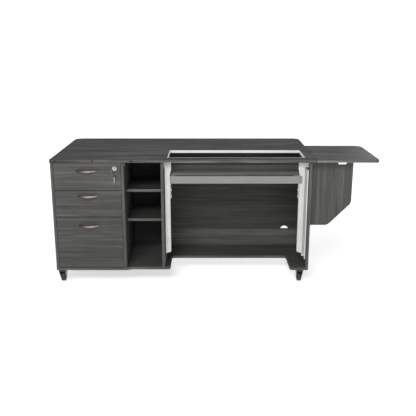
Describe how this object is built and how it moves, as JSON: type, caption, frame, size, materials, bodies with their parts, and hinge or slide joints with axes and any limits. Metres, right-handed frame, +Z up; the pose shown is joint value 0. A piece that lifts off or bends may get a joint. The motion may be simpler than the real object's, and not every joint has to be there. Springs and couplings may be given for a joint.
{
  "type": "sewing table",
  "caption": "Sewing cabinet with a drawer pedestal, shelf bay, machine lift, trimmed opening, folding side and rear leaves, and casters.",
  "frame": {"origin": "centre of the bounding box's base, on the floor under the casters", "axes": "+X to the sitter's right, +Y to the back, +Z up"},
  "size_m": [1.886, 0.7962, 0.765],
  "materials": {
    "ash_laminate": "dark ash-grey wood-grain laminate, satin",
    "back_sheet": "dark laminated back sheet",
    "drawer_board": "light grey melamine board",
    "white_trim": "white moulded edge trim",
    "grey_lift_steel": "light grey powder coat",
    "zinc_steel": "zinc plated",
    "satin_bronze": "satin warm nickel",
    "nickel": "bright nickel plate",
    "ring_steel": "dark spring steel",
    "black_plastic": "black nylon",
    "black_steel": "black enamel",
    "caster_plastic": "gloss black",
    "caster_tread": "black tread"
  },
  "bodies": {
    "cabinet": {"main_top": "ash_laminate", "opening_trim": "white_trim", "left_side_panel": "ash_laminate", "drawer_bay_divider": "ash_laminate", "knee_divider": "ash_laminate", "right_side_panel": "ash_laminate", "base_board": "ash_laminate", "pedestal_back_panel": "back_sheet", "knee_back_panel": "ash_laminate", "knee_back_rail": "ash_laminate", "upper_shelf": "ash_laminate", "lower_shelf": "ash_laminate", "shelf_pins": "zinc_steel", "fixing_brackets": "zinc_steel", "fixed_hinge_leaves": "zinc_steel", "slide_cabinet_members": "zinc_steel", "lift_columns": "grey_lift_steel", "caster_plates": "black_steel"},
    "top_drawer": {"top_drawer_front": "ash_laminate", "top_drawer_box": "drawer_board", "top_drawer_slide_members": "zinc_steel", "top_drawer_handle": "satin_bronze", "lock_body": "nickel"},
    "middle_drawer": {"middle_drawer_front": "ash_laminate", "middle_drawer_box": "drawer_board", "middle_drawer_slide_members": "zinc_steel", "middle_drawer_handle": "satin_bronze"},
    "file_drawer": {"file_drawer_front": "ash_laminate", "file_drawer_box": "drawer_board", "file_drawer_slide_members": "zinc_steel", "file_drawer_handle": "satin_bronze"},
    "top_drawer_middle": {"top_drawer_middle_members": "zinc_steel"},
    "middle_drawer_middle": {"middle_drawer_middle_members": "zinc_steel"},
    "file_drawer_middle": {"file_drawer_middle_members": "zinc_steel"},
    "lock_turning": {"lock_plug": "nickel", "lock_key": "nickel"},
    "keys": {"key_ring": "ring_steel", "spare_key": "nickel"},
    "lift": {"lift_carriages": "grey_lift_steel", "lift_glide_blocks": "black_plastic", "lift_crossbars": "grey_lift_steel", "platform_board": "ash_laminate", "spring_tapes": "ring_steel"},
    "spools": {"spring_spools": "black_plastic"},
    "right_leaf": {"right_leaf": "ash_laminate", "right_leaf_hinge_leaves": "zinc_steel"},
    "rear_leaf": {"rear_leaf": "ash_laminate", "rear_leaf_hinge_leaves": "zinc_steel"},
    "right_support": {"right_support": "ash_laminate", "right_support_hinge_leaves": "zinc_steel"},
    "rear_support": {"rear_support": "ash_laminate", "rear_support_hinge_leaves": "zinc_steel"},
    "front_left_caster_fork": {"front_left_caster_fork": "caster_plastic"},
    "front_left_caster_wheel": {"front_left_caster_wheel": "caster_tread"},
    "front_right_caster_fork": {"front_right_caster_fork": "caster_plastic"},
    "front_right_caster_wheel": {"front_right_caster_wheel": "caster_tread"},
    "rear_left_caster_fork": {"rear_left_caster_fork": "caster_plastic"},
    "rear_left_caster_wheel": {"rear_left_caster_wheel": "caster_tread"},
    "rear_right_caster_fork": {"rear_right_caster_fork": "caster_plastic"},
    "rear_right_caster_wheel": {"rear_right_caster_wheel": "caster_tread"}
  },
  "joints": [
    {"name": "top_drawer_slide", "type": "slide", "parent": "cabinet", "child": "top_drawer", "axis": [0, -1, 0], "range_m": [0, 0.38]},
    {"name": "top_drawer_middle_slide", "type": "slide", "parent": "cabinet", "child": "top_drawer_middle", "axis": [0, -1, 0], "range_m": [0, 0.19]},
    {"name": "middle_drawer_slide", "type": "slide", "parent": "cabinet", "child": "middle_drawer", "axis": [0, -1, 0], "range_m": [0, 0.38]},
    {"name": "middle_drawer_middle_slide", "type": "slide", "parent": "cabinet", "child": "middle_drawer_middle", "axis": [0, -1, 0], "range_m": [0, 0.19]},
    {"name": "file_drawer_slide", "type": "slide", "parent": "cabinet", "child": "file_drawer", "axis": [0, -1, 0], "range_m": [0, 0.38]},
    {"name": "file_drawer_middle_slide", "type": "slide", "parent": "cabinet", "child": "file_drawer_middle", "axis": [0, -1, 0], "range_m": [0, 0.19]},
    {"name": "lock_turn", "type": "hinge", "parent": "top_drawer", "child": "lock_turning", "pos_m": [-0.573, -0.368, 0.712], "axis": [0, 1, 0], "range_deg": [0, 90]},
    {"name": "key_ring_swing", "type": "hinge", "parent": "lock_turning", "child": "keys", "pos_m": [-0.573, -0.392, 0.712], "axis": [1, 0, 0], "range_deg": [-60, 6]},
    {"name": "lift_slide", "type": "slide", "parent": "cabinet", "child": "lift", "axis": [0, 0, 1], "range_m": [-0.25, 0.088], "deforming": ["spring_tapes"]},
    {"name": "spring_spool_turn", "type": "hinge", "parent": "cabinet", "child": "spools", "pos_m": [0, -0.32, 0.733], "axis": [1, 0, 0], "range_deg": [-580, 1620]},
    {"name": "right_leaf_lift", "type": "hinge", "parent": "cabinet", "child": "right_leaf", "pos_m": [0.586, 0, 0.7465], "axis": [0, -1, 0], "range_deg": [0, 4]},
    {"name": "rear_leaf_lift", "type": "hinge", "parent": "cabinet", "child": "rear_leaf", "pos_m": [0, 0.1, 0.7465], "axis": [1, 0, 0], "range_deg": [0, 4]},
    {"name": "right_support_swing", "type": "hinge", "parent": "cabinet", "child": "right_support", "pos_m": [0.5665, -0.2935, 0.6], "axis": [0, 0, 1], "range_deg": [0, 90]},
    {"name": "rear_support_swing", "type": "hinge", "parent": "cabinet", "child": "rear_support", "pos_m": [-0.196, 0.0805, 0.6], "axis": [0, 0, -1], "range_deg": [0, 90]},
    {"name": "front_left_caster_swivel", "type": "hinge", "parent": "cabinet", "child": "front_left_caster_fork", "pos_m": [-0.918, -0.319, 0.08], "axis": [0, 0, 1], "continuous": true},
    {"name": "front_left_caster_roll", "type": "hinge", "parent": "front_left_caster_fork", "child": "front_left_caster_wheel", "pos_m": [-0.918, -0.303, 0.031], "axis": [1, 0, 0], "continuous": true},
    {"name": "front_right_caster_swivel", "type": "hinge", "parent": "cabinet", "child": "front_right_caster_fork", "pos_m": [0.519, -0.319, 0.08], "axis": [0, 0, 1], "continuous": true},
    {"name": "front_right_caster_roll", "type": "hinge", "parent": "front_right_caster_fork", "child": "front_right_caster_wheel", "pos_m": [0.519, -0.303, 0.031], "axis": [1, 0, 0], "continuous": true},
    {"name": "rear_left_caster_swivel", "type": "hinge", "parent": "cabinet", "child": "rear_left_caster_fork", "pos_m": [-0.918, 0.022, 0.08], "axis": [0, 0, 1], "continuous": true},
    {"name": "rear_left_caster_roll", "type": "hinge", "parent": "rear_left_caster_fork", "child": "rear_left_caster_wheel", "pos_m": [-0.918, 0.038, 0.031], "axis": [1, 0, 0], "continuous": true},
    {"name": "rear_right_caster_swivel", "type": "hinge", "parent": "cabinet", "child": "rear_right_caster_fork", "pos_m": [0.519, 0.022, 0.08], "axis": [0, 0, 1], "continuous": true},
    {"name": "rear_right_caster_roll", "type": "hinge", "parent": "rear_right_caster_fork", "child": "rear_right_caster_wheel", "pos_m": [0.519, 0.038, 0.031], "axis": [1, 0, 0], "continuous": true}
  ],
  "couplings": [
    {"joint": "top_drawer_middle_slide", "follows": "top_drawer_slide", "ratio": 0.5},
    {"joint": "middle_drawer_middle_slide", "follows": "middle_drawer_slide", "ratio": 0.5},
    {"joint": "file_drawer_middle_slide", "follows": "file_drawer_slide", "ratio": 0.5},
    {"joint": "spring_spool_turn", "follows": "lift_slide", "rad_per_m": -111.11}
  ]
}
